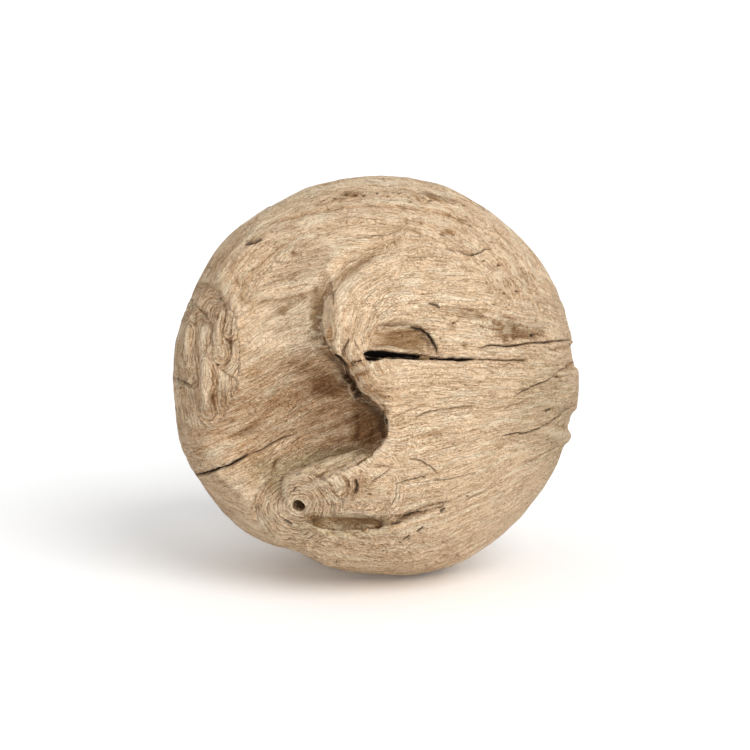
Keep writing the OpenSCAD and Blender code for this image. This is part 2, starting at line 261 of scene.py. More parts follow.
# Worm holes and pits: right, up and radius
PITS = (
    (-12, 193, 1.6), (2, 196, 1.5), (14, 193, 2.0), (26, 196, 1.4), (36, 192, 1.8), (60, 189, 2.2),
    (76, 187, 1.6), (96, 183, 1.8), (-44, 191, 1.6), (128, 76, 1.5), (139, 88, 2.0), (143, 70, 1.5),
    (120, 100, 1.6), (50, 164, 1.7), (50, 191, 2), (83, 185, 1.9), (70, 192, 1.2), (134, 118, 2.2),
    (117, 123, 1.6), (153, 90, 1.9), (162, 109, 1.7), (160, 117, 1.4), (51, 87, 1.6), (97, 31, 2.3),
    (122, 45, 1.4), (85, 56, 2.1), (71, 39, 1.5), (170, 43, 2.6), (144, 13, 1.5), (160, 16, 1.5),
    (198, -2, 2.8), (104, 70, 1.6), (69, -8, 1.4), (97, -10, 1.3), (53, -111, 1.9), (74, -181, 1.9),
    (27, -181, 1.7), (89, -195, 1.9), (9, -190, 1.3), (100, -130, 1.7), (-1, -184, 1.2),
    (55, -205, 1.5), (67, -202, 1.8), (-21, 194, 2.3), (-32, 194, 1.7), (-56, 188, 1.6),
    (-178, 116, 1.4), (-57, -174, 1.7), (-210, -14, 1.7), (-43, -202, 2.4), (-6, -129, 2.4),
)

# Short slots, which worms or drying opened: the line, the width and the depth
SLOTS = (
    (((57, 78), (71, 73)), 2.0, 3),
    (((183, -40), (190, -36)), 2.4, 3),
    (((31, -178), (38, -173)), 2.2, 3),
    (((45, -170), (53, -164)), 2.2, 3),
    (((70, -148), (76, -144)), 2.0, 3),
    (((16, -162), (23, -159), (29, -156)), 2.2, 3),
    (((-142, 141), (-132, 143), (-122, 147)), 3.2, 5),
    (((-89, -125), (-85, -121)), 1.6, 2),
    (((-99, -156), (-89, -162)), 2.6, 3),
    (((-22, -113), (-19, -120), (-23, -129)), 2.4, 4),
)

# Ridges, and hollows where the height is negative: the line, half the width at its start and end, and the
# height
FORMS = (
    # the groove under the top rim, and the swelling below it
    (((-138, 151), (-109, 166), (-62, 177), (-16, 182), (37, 179), (80, 172), (110, 158)), (6, 6), -0.9),
    (((-120, 152), (-80, 163), (-20, 171), (40, 168), (85, 160)), (10, 10), 1.2),
    (((-50, 190), (0, 195), (40, 193), (94, 183)), (5, 5), 2.2),
    # the curled burl at the left and its pointed finger
    (((-184, 48), (-184, 20), (-181, -38)), (8, 3.5), 3.0),
    # the dark valley beside the flat tongue at the lower left
    (((-104, -84), (-113, -112), (-129, -148)), (9, 9), -2.5),
    # the knobs at the tip of the nose, and the cracks between them
    (((-38, 42), (-41, 33), (-39, 25)), (6, 6), 5),
    (((-25, 38), (-26, 27), (-24, 15)), (7, 7), 5),
    (((-24, 5), (-15, 8), (0, 12)), (7, 7), 3),
    (((-35, 23), (-33, 31), (-28, 40)), (2.6, 2.6), -4),
    (((-27, 11), (-20, 14), (-14, 16)), (2.2, 2.2), -2.5),
    # folds of the root branch
    (((-89, -127), (-51, -112), (-22, -95), (5, -81)), (6, 6), 1.5),
    (((-80, -140), (-62, -134), (-27, -133), (22, -130), (60, -128)), (7, 7), 1.8),
    (((-36, -104), (-28, -118), (-24, -134)), (3, 3), -1.4),
    (((-50, -112), (-44, -124), (-46, -136)), (3, 3), -1.0),
    (((-64, -121), (-58, -130), (-60, -140)), (3, 3), -0.9),
    # the trough's extension to the right, and the shelf under it
    (((25, -154), (54, -142), (85, -137)), (5, 5), -3),
    (((-70, -172), (-30, -168), (20, -166)), (7, 7), 2.2),
    # chips and dents of the right half
    (((70, 152), (79, 157), (88, 152)), (5, 5), -2.2),
    (((112, 126), (127, 123), (139, 119)), (8, 8), -2.2),
    (((104, 71), (118, 62)), (8, 8), -1.8),
    (((118, 45), (153, 39), (188, 36)), (8, 8), -1.8),
    (((139, 97), (150, 80)), (9, 9), -2.0),
)

# Steps in the surface, which lies lower on the left as the line is walked: the line, the drop at its start
# and end, how far from the line the drop has faded, and how far the standing edge is raised
STEPS = (
    # the crescent pocket over the main split
    (((66, 21), (64, 32), (58, 43), (47, 52), (30, 56), (12, 55), (0, 53), (-8, 46)), (3.8, 2.2), 15, 1.0),
    # the trough's upper edge, and the lower one at its right end
    (((13, -153), (-4, -152), (-24, -151), (-51, -151), (-78, -150)), (9, 2), 21, 0.8),
    (((-76, -154), (-66, -162), (-48, -172), (-22, -174), (2, -169), (12, -155)), (2, 7), 13, 0.5),
    # the dish's far edge and its crease over the bowl
    (((-74, 128), (-105, 143), (-128, 141), (-148, 126)), (0.8, 0.8), 20, 0.4),
    (((-56, 100), (-74, 90), (-100, 84), (-125, 82), (-140, 83)), (1.6, 2.8), 22, 0.7),
    # two chips of the upper right
    (((90, 151), (86, 157), (79, 160), (72, 157), (68, 152)), (2.2, 2.2), 9, 0.3),
    (((127, 138), (118, 140), (112, 143), (110, 133)), (1.8, 1.8), 8, 0.3),
)

# The main hollow's lip, from the root branch over the knobs of the nose to the shoulder of the bulge
LIP = (
    (-88, -124), (-68, -118), (-39, -109), (-21, -98), (-4, -87), (7, -76), (11.3, -69), (10.8, -63),
    (11.3, -52), (10.2, -43), (2.5, -32), (-7.3, -22.5), (-15, -18), (-19.5, -13), (-20.5, -7), (-27, -2.6),
    (-26.2, 1), (-27, 7), (-28.2, 11.6), (-36, 20.4), (-44, 24.8), (-46.5, 31), (-45, 40), (-44.5, 48),
    (-45.5, 62), (-45, 74), (-42, 86), (-35, 98),
)

# Dips and swells of the outline: from and to what angle, anticlockwise from the right, the height, and over
# how many degrees each end fades
OUTLINE = (
    (8, 66, -3.0, 14),
    (2.5, 9, -3.6, 1.2),
    (-11, 1.5, 2.0, 1.5),
    (344, 350, -3.4, 2),
    (318, 342, -2.6, 10),
    (340.5, 343.5, 3.5, 2),
    (193, 234, 2.8, 12),
    (241, 253, -3.0, 5),
    (246, 248, -1.4, 1.5),
    (276, 299, 2.4, 8),
)

# Rings round a bud or branch end: the centre, the smallest and largest radius, the sector that they show
# in (from and to, anticlockwise from the right, in degrees), how much wider than high they are, and how
# strongly their lines are drawn
RINGS = (
    ((-82, -141), 0, 40, (0, 360), 1.15, 1.0),
    ((-22, -124), 6, 42, (-75, 75), 1.3, 0.8),
    ((-66, -121), 20, 60, (-40, 60), 1.6, 0.5),
    ((42, 34), 34, 108, (78, 232), 1.0, 0.0),
    ((0, 0), 172, 260, (24, 206), 1.0, 0.25),
)

# Stained places, and bleached ones where the strength is negative, and among them painted shade and painted
# light where marked: middle, half width, half height, slant in degrees and strength
TINTS = (
    # valley, dish and bowl
    ((-24, 115), 40, 9, 36, 0.8),
    ((-52, 96), 16, 12, 50, 0.5),
    ((-63, 140), 46, 9, 8, -0.5),
    ((-34, -124), 44, 16, 6, 0.6),
    ((-106, 80), 46, 9, -2, -0.7),
    ((-51, 72), 8, 22, 0, -0.4),
    ((-122, 58), 30, 10, 20, -0.5),
    ((-98, 62), 34, 22, 0, -0.7),
    # painted light: the underside made paler, as if lit from below
    ((10, -190), 140, 32, 0, -1.9),
    ((140, -55), 62, 46, 0, -0.6),
    # bulge and top rim
    ((-33, 72), 7, 24, 0, -0.8),
    ((-25, 195), 15, 4, 0, 0.9),
    ((20, 199), 50, 4, 0, -0.7),
    ((10, 150), 60, 22, 0, 0.25),
    ((-60, 184), 30, 5, 16, 0.4),
    ((69, 190), 24, 5, -16, 0.8),
    ((89, 104), 32, 9, -6, -0.8),
    ((105, 134), 14, 6, -10, 0.3),
    ((127, 118), 12, 8, 20, 0.5),
    ((139, 100), 16, 8, 20, 0.5),
    ((159, 109), 5, 13, 0, 0.4),
    ((153, 88), 5, 13, 0, 0.4),
    ((150, 49), 46, 11, -8, 0.9),
    ((115, 60), 24, 8, -20, 0.7),
    ((101, 64), 20, 13, 0, 0.5),
    ((83, 53), 8, 7, 0, 0.6),
    ((95, 33), 7, 7, 0, 0.8),
    ((156, 16), 11, 4, 0, 0.8),
    ((30, 38), 36, 16, 0, 1.1),
    # the nose below the split and the right half under it
    ((28, -26), 28, 10, 10, -0.6),
    ((72, -14), 24, 9, 8, -0.6),
    ((19, -66), 8, 26, 0, -0.5),
    ((200, 1), 6, 9, 0, 0.5),
    # painted light: the right side made paler, as if more brightly lit
    ((205, 70), 26, 60, 0, -1.3),
    ((196, -10), 32, 60, 0, -1.3),
    ((188, -37), 8, 5, 30, 0.8),
    ((168, -55), 34, 7, 24, 0.4),
    ((58, -62), 18, 6, 12, 0.5),
    ((126, -86), 12, 10, 0, -1.0),
    # painted light: the lower right made paler, as if lit
    ((150, -120), 62, 30, 32, -1.2),
    # hollow
    ((-135, -59), 20, 8, 24, 0.9),
    ((-62, 4), 12, 7, 0, 0.8),
    ((-42, -6), 36, 18, 20, 1.1),
    ((-158, -14), 15, 8, 24, 0.6),
    # painted shade under the hollow's lip
    ((-8, -46), 22, 38, -8, 1.3),
    # painted shade beside the bulge's left edge
    ((-56, 58), 15, 42, 4, 1.3),
    ((-95, -30), 34, 8, 27, -0.5),
    ((-150, -84), 36, 8, 27, -0.4),
    # branch, trough and bottom
    ((10, -100), 34, 10, 8, 0.4),
    ((-62, -174), 18, 6, 0, 0.8),
    ((25, -180), 16, 7, 0, 0.6),
    ((75, -180), 6, 5, 0, 0.8),
    ((55, -204), 24, 4, 4, 0.7),
    ((40, -150), 30, 6, 14, 0.5),
    ((-110, -150), 20, 10, -40, 0.4),
)

# Rough and wormy places: middle, half width, half height and the strength
ROUGH = (
    ((150, 95), 44, 56, 0.8),
    ((92, 70), 40, 26, 0.5),
    ((150, 50), 50, 16, 1.0),
    ((60, 140), 60, 30, 0.6),
    ((20, 192), 70, 9, 1.0),
    ((40, -178), 80, 22, 0.8),
    ((70, -110), 50, 14, 0.4),
    ((200, -20), 20, 60, 0.6),
    ((-30, 45), 20, 22, 0.5),
)

# Ovals: middle, half width and half height. The grain runs across the hollow at a slant.
HOLLOW = ((-105, -25), 118, 95)
HOLLOW_SLANT = math.radians(27)
HOLLOW_FLOOR = ((-100, -40), 118, 80)
BURL = ((-186, 20), 38, 74)
BOWL = ((-98, 58), 70, 34)
RIPPLED = ((-18, -186), 70, 22)
TROUGH = ((-32, -162), 50, 12)
GREY_RIGHT = ((182, -40), 34, 60)
# Where the rings give way to the plain grain: the crescent pocket and the trough
PLAIN = (((29, 36), 39, 19), ((-34, -162), 48, 12))
# The middles of the burl's lobes, round which its fibres curl
LOBES = (
    ((-202, 48), (-204, 22), (-199, -4)),
    ((-184, 50), (-184, 20), (-181, -40)),
    ((-168, 66), (-169, 46), (-166, 24)),
    ((-152, 74), (-153, 60), (-158, 46)),
    ((-206, -16), (-202, -40), (-196, -60)),
)
# The knot hole's axis: a place on it and its direction outward, in millimetres in the ball's own frame
KNOT_MIDDLE = (-77, -150, 106)
KNOT_AXIS = (-0.07, -1.0, 0.03)


# The ball's skin


def worked(mesh, kind, **settings):
    """A mesh with one modifier carried out on it."""
    holder = bpy.data.objects.new("bench", mesh)
    bpy.context.scene.collection.objects.link(holder)
    modifier = holder.modifiers.new("work", kind)
    for name, value in settings.items():
        setattr(modifier, name, value)
    result = bpy.data.meshes.new_from_object(holder.evaluated_get(bpy.context.evaluated_depsgraph_get()))
    bpy.data.objects.remove(holder)
    return result


def sphere_places(points):
    """The places of points on a ball of the mean radius, in millimetres."""
    p = from_centre(points)
    return p / np.linalg.norm(p, axis=1)[:, None] * RADIUS / MM


class Front:
    """What the eye sees: which points lie on the nearest surface, and where they show."""

    def __init__(self, points, normals):
        self.seen, u, w = as_seen(points)
        self.places = np.stack([u, w], axis=1)
        away = normals[:, 1] * EYE_COS - normals[:, 2] * EYE_SIN
        grid = np.clip((self.places / GRID_CELL + GRID_COUNT / 2).astype(int), 0, GRID_COUNT - 1)
        nearest = np.full((GRID_COUNT, GRID_COUNT), 1e9)
        np.minimum.at(nearest, (grid[:, 0], grid[:, 1]), self.seen[:, 1])
        behind = self.seen[:, 1] - nearest[grid[:, 0], grid[:, 1]]
        ragged = 0.12 * noise(points / MM, 22, 91)
        self.facing = smooth(-away + ragged, -0.05, 0.25)
        self.near_side = smooth(-away + ragged, -0.3, -0.05) * smooth(behind, 90, 50)
        self.weight = smooth(behind, 30, 14) * smooth(-away, -0.05, 0.2)


def patch(places, middle, half_width, half_height, soft=0.35):
    """1 inside an oval on the front, falling softly to 0 at its edge."""
    reach = np.hypot((places[:, 0] - middle[0]) / half_width, (places[:, 1] - middle[1]) / half_height)
    return smooth(reach, 1 + soft, 1 - soft)


def tint_field(places):
    """How stained the wood is at places on the front, or how bleached where the value is negative. Some
    places carry painted shade instead, and some negative ones painted light.
    """
    total = np.zeros(len(places))
    for (middle_u, middle_w), half_width, half_height, slant, strength in TINTS:
        c, s = math.cos(math.radians(slant)), math.sin(math.radians(slant))
        du, dw = places[:, 0] - middle_u, places[:, 1] - middle_w
        reach = np.hypot((du * c + dw * s) / half_width, (dw * c - du * s) / half_height)
        own = strength * smooth(reach, 1.5, 0.3)
        total = np.where(np.abs(own) > np.abs(total), own, total)
    return total


def lip_side(places):
    """How far places lie inside the hollow's lip, less than 0 outside it, and where along the lip."""
    d, place = line_distance(places, LIP)
    return d * side_of(places, np.array(LIP, dtype=float)), place


def ring_weight(places, middle, low, high, sector, stretch):
    """How far one system of rings takes over from the plain grain, and the radius from its middle."""
    du, dw = (places[:, 0] - middle[0]) / stretch, places[:, 1] - middle[1]
    radius = np.hypot(du, dw)
    turn = (np.degrees(np.arctan2(dw, du)) - sector[0]) % 360
    span = sector[1] - sector[0]
    weight = smooth(radius, high * 1.15, high * 0.8)
    if low:
        weight = weight * smooth(radius, low - 22, low + 4)
    if span < 360:
        weight = weight * smooth(turn, -1, 20) * smooth(turn, span + 1, span - 20)
    return weight, radius


def fibres(points, front):
    """The course of the fibres in millimetres, as coordinates whose second number runs across them and whose
    other two change slowly along them. The first set is the plain course. The second is the turned one of
    the hollow, the burl or the rings, with its share and how strongly rings are drawn there."""
    p = from_centre(points)
    u, w = front.places.T
    x, y, z = p.T
    radius = RADIUS / MM
    sway = rough(p, 70, 5, 2) * 7 + noise(p, 24, 6) * 1.6
    # the lower right rises to the right, and towards top and bottom the fibres bend with the outline
    slant = 0.32 * smooth(z, 30, -60) * smooth(x, -40, 60) * (1 - 0.5 * smooth(x, 120, 210))
    bend = mix(-0.35, 0.45, smooth(z, -150, 110)) * np.clip(y + radius, 0, radius)
    plain = np.stack([x, z + sway - slant * (x - 60) + bend, y], axis=1)

    hu, hw = HOLLOW[0]
    c, s = math.cos(HOLLOW_SLANT), math.sin(HOLLOW_SLANT)
    sunk = smooth(radius - np.linalg.norm(p, axis=1), 7, 14)
    aside, place = lip_side(front.places)
    beside = smooth(np.abs(aside), 36, 26) * ends(place, 0, 0.03)
    sunk = mix(sunk, smooth(aside, -0.6, 0.8), beside)
    hollow = patch(front.places, *HOLLOW) * np.maximum(sunk, smooth(u, -120, -150))
    courses = [((x - hu) * c + (z - hw) * s, (x - hu) * -s + (z - hw) * c + sway * 0.7, y)]
    weights = [hollow * front.near_side]
    drawn = [0.0]
    curl = noise(p, 26, 21) * 9 + noise(p, 11, 22) * 2.5
    lobes = np.array([line_distance(front.places, lobe) for lobe in LOBES])
    chosen = np.argmin(lobes[:, 0], axis=0)
    rows = np.arange(len(points))
    courses.append((lobes[chosen, 1, rows] * 60 + 80 * chosen, lobes[chosen, 0, rows] + curl * 0.35, y))
    weights.append(patch(front.places, *BURL, 0.25) * front.near_side * 3)
    drawn.append(0.8)
    wobble = noise(p, 17, 71) * 2.4 + noise(p, 7, 72) * 0.8
    clear = 1 - np.maximum(*(patch(front.places, *oval, 0.15) for oval in PLAIN))
    for middle, low, high, sector, stretch, strength in RINGS:
        weight, reach = ring_weight(front.places, middle, low, high, sector, stretch)
        courses.append((x, reach + wobble, z))
        weights.append(weight * clear * front.near_side)
        drawn.append(strength)
    order = np.argsort(weights, axis=0)
    first, second = np.array(weights)[order[-1], rows], np.array(weights)[order[-2], rows]
    turned = np.array(courses)[order[-1], :, rows]
    share = np.clip((first - second) * 4, 0, 1)
    return plain, turned, share, share * np.array(drawn)[order[-1]]


def hidden_marks(count, seed, length=150, stride=9):
    """Lines along the fibres at chance places of the sides, back and underside, on the mean ball. Each is
    about length long and made of steps of one stride."""
    chance = np.random.default_rng(seed)
    lines = []
    radius = RADIUS / MM
    while len(lines) < count:
        start = chance.normal(size=3)
        start = start / np.linalg.norm(start)
        steps = int(length * chance.uniform(0.4, 1.3) / stride)
        if start[1] < 0.15 and abs(start[0]) < 0.93:
            continue
        line = [start * radius]
        swing = chance.normal() * 0.15
        for _ in range(steps):
            swing = swing * 0.8 + chance.normal() * 0.16
            side = np.cross(line[-1] / radius, (1, 0, 0))
            step = np.array((1.0, 0, 0)) + side / np.linalg.norm(side) * swing
            line.append(line[-1] + step / np.linalg.norm(step) * stride)
            line[-1] = line[-1] / np.linalg.norm(line[-1]) * radius
        if max(abs(point[0]) for point in line) < radius * 0.97 and min(point[1] for point in line) > -50:
            lines.append(line)
    return lines


def hidden_pits(count, seed):
    """Middles and radii of worm holes at chance places of the sides, back and underside."""
    chance = np.random.default_rng(seed)
    spots = chance.normal(size=(count * 3, 3))
    spots /= np.linalg.norm(spots, axis=1)[:, None]
    spots = spots[(spots[:, 1] > 0.1) | (np.abs(spots[:, 0]) > 0.95)][:count]
    return [(spot * RADIUS / MM, size) for spot, size in zip(spots, chance.uniform(1.1, 2.6, count))]


def push(points, directions, height):
    """Moves points out by a height in millimetres. What stands on the floor stays on it."""
    moved = points + directions * (height * MM)[:, None]
    foot = smooth(points[:, 2], 0.5 * MM, 9 * MM)[:, None]
    moved = points + (moved - points) * foot
    moved[:, 2] = np.maximum(moved[:, 2], np.minimum(points[:, 2], 0.0))
    return moved


def near_knot_hole(points):
    """1 at the wall of the knot hole, falling to 0 a little way round it."""
    p = points / MM - KNOT_MIDDLE
    axis = np.array(KNOT_AXIS) / np.linalg.norm(KNOT_AXIS)
    off = np.linalg.norm(p - (p @ axis)[:, None] * axis, axis=1)
    return smooth(off, 15, 11) * (p @ axis > -40)


def pecked(p, front):
    """How worn and pecked the wood is at each point, from 0 to 1."""
    amount = smooth(noise(p, 38, 41), 0.15, 0.55) * mix(1, 0.25, front.weight)
    for middle, half_width, half_height, strength in ROUGH:
        own = strength * patch(front.places, middle, half_width, half_height, 0.5)
        amount = np.maximum(amount, own * front.weight)
    return amount


def lay_forms(points, normals, look):
    """Knobs, ridges, burl, dents and the relief that weather cut between the fibres."""
    front = Front(points, normals)
    height = np.zeros(len(points))
    for path, (start, end), rise in FORMS:
        d, place = line_distance(front.places, path)
        taper = ends(place, -0.12, 0.18)
        height += rise * smooth(d, mix(start, end, place), 0) * taper * front.weight * look.form_share
    for path, (start, end), fade, rise in STEPS:
        d, place = line_distance(front.places, path)
        aside = d * side_of(front.places, np.array(path, dtype=float))
        taper = ends(place, 0, 0.15) * front.weight * look.form_share
        height -= mix(start, end, place) * smooth(aside, -0.4, 2.6) * smooth(aside, fade, 2) * taper
        height += rise * smooth(aside, 0.6, -1.2) * smooth(aside, -9, -2) * taper
    spread = np.hypot(*front.places.T)
    turn = np.degrees(np.arctan2(front.places[:, 1], front.places[:, 0]))
    for start, end, rise, soft in OUTLINE:
        off = (turn - start + 90) % 360 - 90
        span = end - start
        inside = smooth(off, -soft / 2, soft / 2) * smooth(off, span + soft / 2, span - soft / 2)
        height += rise * inside * smooth(spread, 160, 200) * look.form_share
    p = from_centre(points)
    plain, turned, share, _ = fibres(points, front)
    hollow = patch(front.places, *HOLLOW) * front.facing
    burl = patch(front.places, *BURL, 0.25) * front.facing
    lobes = np.sort([line_distance(front.places, lobe)[0] for lobe in LOBES], axis=0)
    curls = 2.0 * smooth(lobes[0], 11, 1) - 1.0 - 1.2 * smooth(lobes[1] - lobes[0], 3, 0)
    height += curls * burl * look.form_share
    # broad swells, then long ribs along the fibres
    height += rough(p, 62, 3, 3) * 1.3
    ribs = mix(*(ridged(course / (5.5, 1, 5.5), 9.0, 31) + 0.7 * ridged(course / (6, 1, 6), 4.5, 32)
                 for course in (plain, turned)), share)
    height += (ribs - 1.0) * (0.6 + 0.7 * burl + 0.2 * hollow) * look.relief / MM
    pecks = np.maximum(rough(p, 9, 42, 2), -0.2) * 2.8 + noise(p, 19, 44)
    height -= pecked(p, front) * pecks * look.relief / MM
    # the lowest part of the front is rippled
    ripple = patch(front.places, *RIPPLED) * front.weight
    height += ripple * np.sin((p[:, 2] * 1.1 + p[:, 0] * 0.55 + noise(p, 16, 51) * 5) * 1.25) * 0.8
    return push(points, normals, height)


def across_lip(place):
    """The direction across the lip's line towards the hollow, as the eye sees it, at parts of its length."""
    path = np.array(LIP, dtype=float)
    steps = np.diff(path, axis=0)
    lengths = np.linalg.norm(steps, axis=1)
    middles = (np.cumsum(lengths) - lengths / 2) / lengths.sum()
    across = np.stack([-steps[:, 1], steps[:, 0]], axis=1)
    for _ in range(2):
        across[1:-1] = (across[:-2] + 2 * across[1:-1] + across[2:]) / 4
    found = np.stack([np.interp(place, middles, across[:, k]) for k in range(2)], axis=1)
    return found / np.linalg.norm(found, axis=1)[:, None]


def shift_lip(points, normals, look):
    """Moves the lip that the plain solid has sideways, as the eye sees it, until its edge lies on LIP."""
    front = Front(points, normals)
    aside, place = lip_side(front.places)
    sunk = (RADIUS - np.linalg.norm(points - np.array(CENTRE), axis=1)) / MM
    level, edge = [], []
    for stop in LIP_STOPS:
        near = (front.weight > 0.5) & (np.abs(place - stop) < LIP_SPAN) & (aside > -16) & (aside < 20)
        level.append(np.median(sunk[near & (aside < -11)]))
        edge.append(np.percentile(aside[near & (sunk < level[-1] + 8)], 99))
    edge = np.convolve(np.clip(edge, 0, 10), (0.25, 0.5, 0.25), "same")
    w = front.places[:, 1]
    amount = np.interp(place, LIP_STOPS, edge) * smooth(w, -76, -60) * smooth(w, 92, 70)
    body = smooth(sunk - np.interp(place, LIP_STOPS, level), 45, 25) * smooth(front.seen[:, 1], -90, -120)
    share = smooth(aside, -16, np.maximum(amount, 1)) * smooth(aside, 26, 14) * body
    across = across_lip(place) * (-amount * share * MM)[:, None]
    return points + np.stack([across[:, 0], across[:, 1] * EYE_SIN, across[:, 1] * EYE_COS], axis=1)


def sharpen_lip(points, normals, look):
    """Brings the hollow's lip to its line: outside it the skin runs on to the edge, and inside it falls away
    at once."""
    front = Front(points, normals)
    aside, place = lip_side(front.places)
    outward = points - np.array(CENTRE)
    reach = np.linalg.norm(outward, axis=1)
    sunk = (RADIUS - reach) / MM
    skin = (front.weight > 0.9) & (aside < -11) & (aside > -16)
    level = [np.median(sunk[skin & (np.abs(place - stop) < LIP_SPAN)]) for stop in LIP_STOPS]
    outer = np.interp(place, LIP_STOPS, level)
    raised = np.minimum(sunk, outer + 1.2 * smooth(aside, -6, 0))
    # beside the bulge the lip runs out into a shoulder
    fall = np.interp(front.places[:, 1], (28, 44), (15, 0))
    lowered = np.maximum(sunk, outer + fall * (smooth(aside, -0.6, 3.4) + np.clip(aside - 3, 0, 24) / 21))
    wanted = np.where(aside < 0, mix(sunk, raised, smooth(aside, -16, -9) * front.near_side),
                      mix(sunk, lowered, smooth(aside, 28, 16)))
    moved = (wanted - sunk) * ends(place, 0.0, 0.12) * (np.abs(aside) < 28)
    moved = moved * np.where(aside < 0, 1, front.weight > 0.02)
    return push(points, outward / reach[:, None], -moved)


def marks(look):
    """Every split, slot and worm hole: whether it is placed on the front, its line or middle, half its width,
    its depth and how dark the painted shade in it is."""
    rows = [(True, line, width / 2, depth, shade) for line, width, depth, shade in SPLITS]
    rows += [(True, line, width / 2, depth, 0.7) for line, width, depth in SLOTS]
    chance = np.random.default_rng(look.seed)
    for u, w, radius in PITS:
        rows.append((True, ((u, w),), radius * 0.9, radius * 1.3, chance.uniform(0.35, 0.85)))
    for line in hidden_marks(look.side_splits, look.seed):
        rows.append((False, line, chance.uniform(0.3, 0.9), chance.uniform(2, 5), chance.uniform(0.6, 1)))
    for spot, radius in hidden_pits(look.side_pits, look.seed + 1):
        rows.append((False, (spot,), radius, radius * 1.3, chance.uniform(0.35, 0.85)))
    return rows


def side_of(places, line):
    """-1 or 1 for the side of a line on which each place lies. On the ball, the side is taken round its
    centre."""
    ends = line[-1] - line[0]
    if line.shape[1] == 2:
        across = np.array((-ends[1], ends[0]))
    else:
        across = np.cross(ends, line[0])
    middle = np.array([np.interp(places @ ends, line @ ends, line[:, k]) for k in range(line.shape[1])]).T
    return np.where((places - middle) @ across < 0, -1.0, 1.0)


def mark_distances(points, normals, rows):
    """For each point how far past the nearest mark's edge it is, the depth cut there, how dark the painted
    shade of the nearest worm hole makes it, and the crease of the nearest split: distance with its side, half
    width and the darkness of its painted shade."""
    front = Front(points, normals)
    round_places = sphere_places(points)
    outside = np.full(len(points), 99.0)
    cut = np.zeros(len(points))
    dark = np.zeros(len(points))
    nearest = np.full(len(points), 99.0)
    crease = np.zeros((len(points), 3))
    for on_front, line, half, depth, shade in rows:
        places = front.places if on_front else round_places
        line = np.array(line, dtype=float)
        margin = half + 9
        near = np.all((places > line.min(axis=0) - margin) & (places < line.max(axis=0) + margin), axis=1)
        if on_front:
            near &= front.weight > 0.3
        index = np.nonzero(near)[0]
        if not len(index):
            continue
        own = places[index]
        wander = np.stack([noise(round_places[index] + k * 90, 6, 61) for k in range(line.shape[1])], axis=1)
        if len(line) == 1:
            flat = (0.75, 1.3) if on_front else (0.75, 1.2, 1.2)
            d = np.linalg.norm((own - line[0] + wander * 0.9) * flat, axis=1)
            outside[index] = np.minimum(outside[index], d - half)
            cut[index] = np.maximum(cut[index], depth * smooth(d, half * 1.4 + 0.3, half * 0.2))
            dark[index] = np.maximum(dark[index], shade * smooth(d, half * 1.2 + 0.3, half * 0.3))
            continue
        own = own + wander * 0.8
        d, place = line_distance(own, line)
        taper = ends(place, -0.1, 0.22)
        uneven = 1 + 0.45 * noise(round_places[index], 13, 62)
        outside[index] = np.minimum(outside[index], d - half)
        cut[index] = np.maximum(cut[index], depth * taper * np.clip(1 - d / (half * 1.5 + 0.6), 0, 1) ** 0.8)
        closer = d < nearest[index]
        chosen = index[closer]
        nearest[chosen] = d[closer]
        crease[chosen, 0] = (d * side_of(own, line))[closer]
        crease[chosen, 1] = (half * taper * uneven)[closer]
        darkness = shade * smooth(place * (1 - place), -0.01, 0.08) * smooth(d, half + 4, half + 2)
        crease[chosen, 2] = darkness[closer]
    return outside, cut, dark, crease


def refine(mesh, rows, finest):
    """Cuts the edges near the marks in two until they are short enough to hold them."""
    for reach in (4.0, 2.6, 1.7):
        points, normals = read_mesh(mesh)
        outside = mark_distances(points, normals, rows)[0]
        edges = edge_list(mesh)
        length = np.linalg.norm(points[edges[:, 0]] - points[edges[:, 1]], axis=1)
        chosen = (outside[edges].min(axis=1) < reach) & (length > finest)
        work = bmesh.new()
        work.from_mesh(mesh)
        work.edges.ensure_lookup_table()
        bmesh.ops.subdivide_edges(work, edges=[work.edges[i] for i in np.nonzero(chosen)[0]], cuts=1)
        bmesh.ops.triangulate(work, faces=[face for face in work.faces if len(face.verts) > 3])
        work.to_mesh(mesh)
        work.free()


def store(mesh, name, values):
    """Keeps a number, or three, for each point of the mesh."""
    kind = "FLOAT_VECTOR" if values.ndim == 2 else "FLOAT"
    layer = mesh.attributes.new(name, kind, "POINT")
    layer.data.foreach_set("vector" if values.ndim == 2 else "value", values.astype(np.float32).ravel())


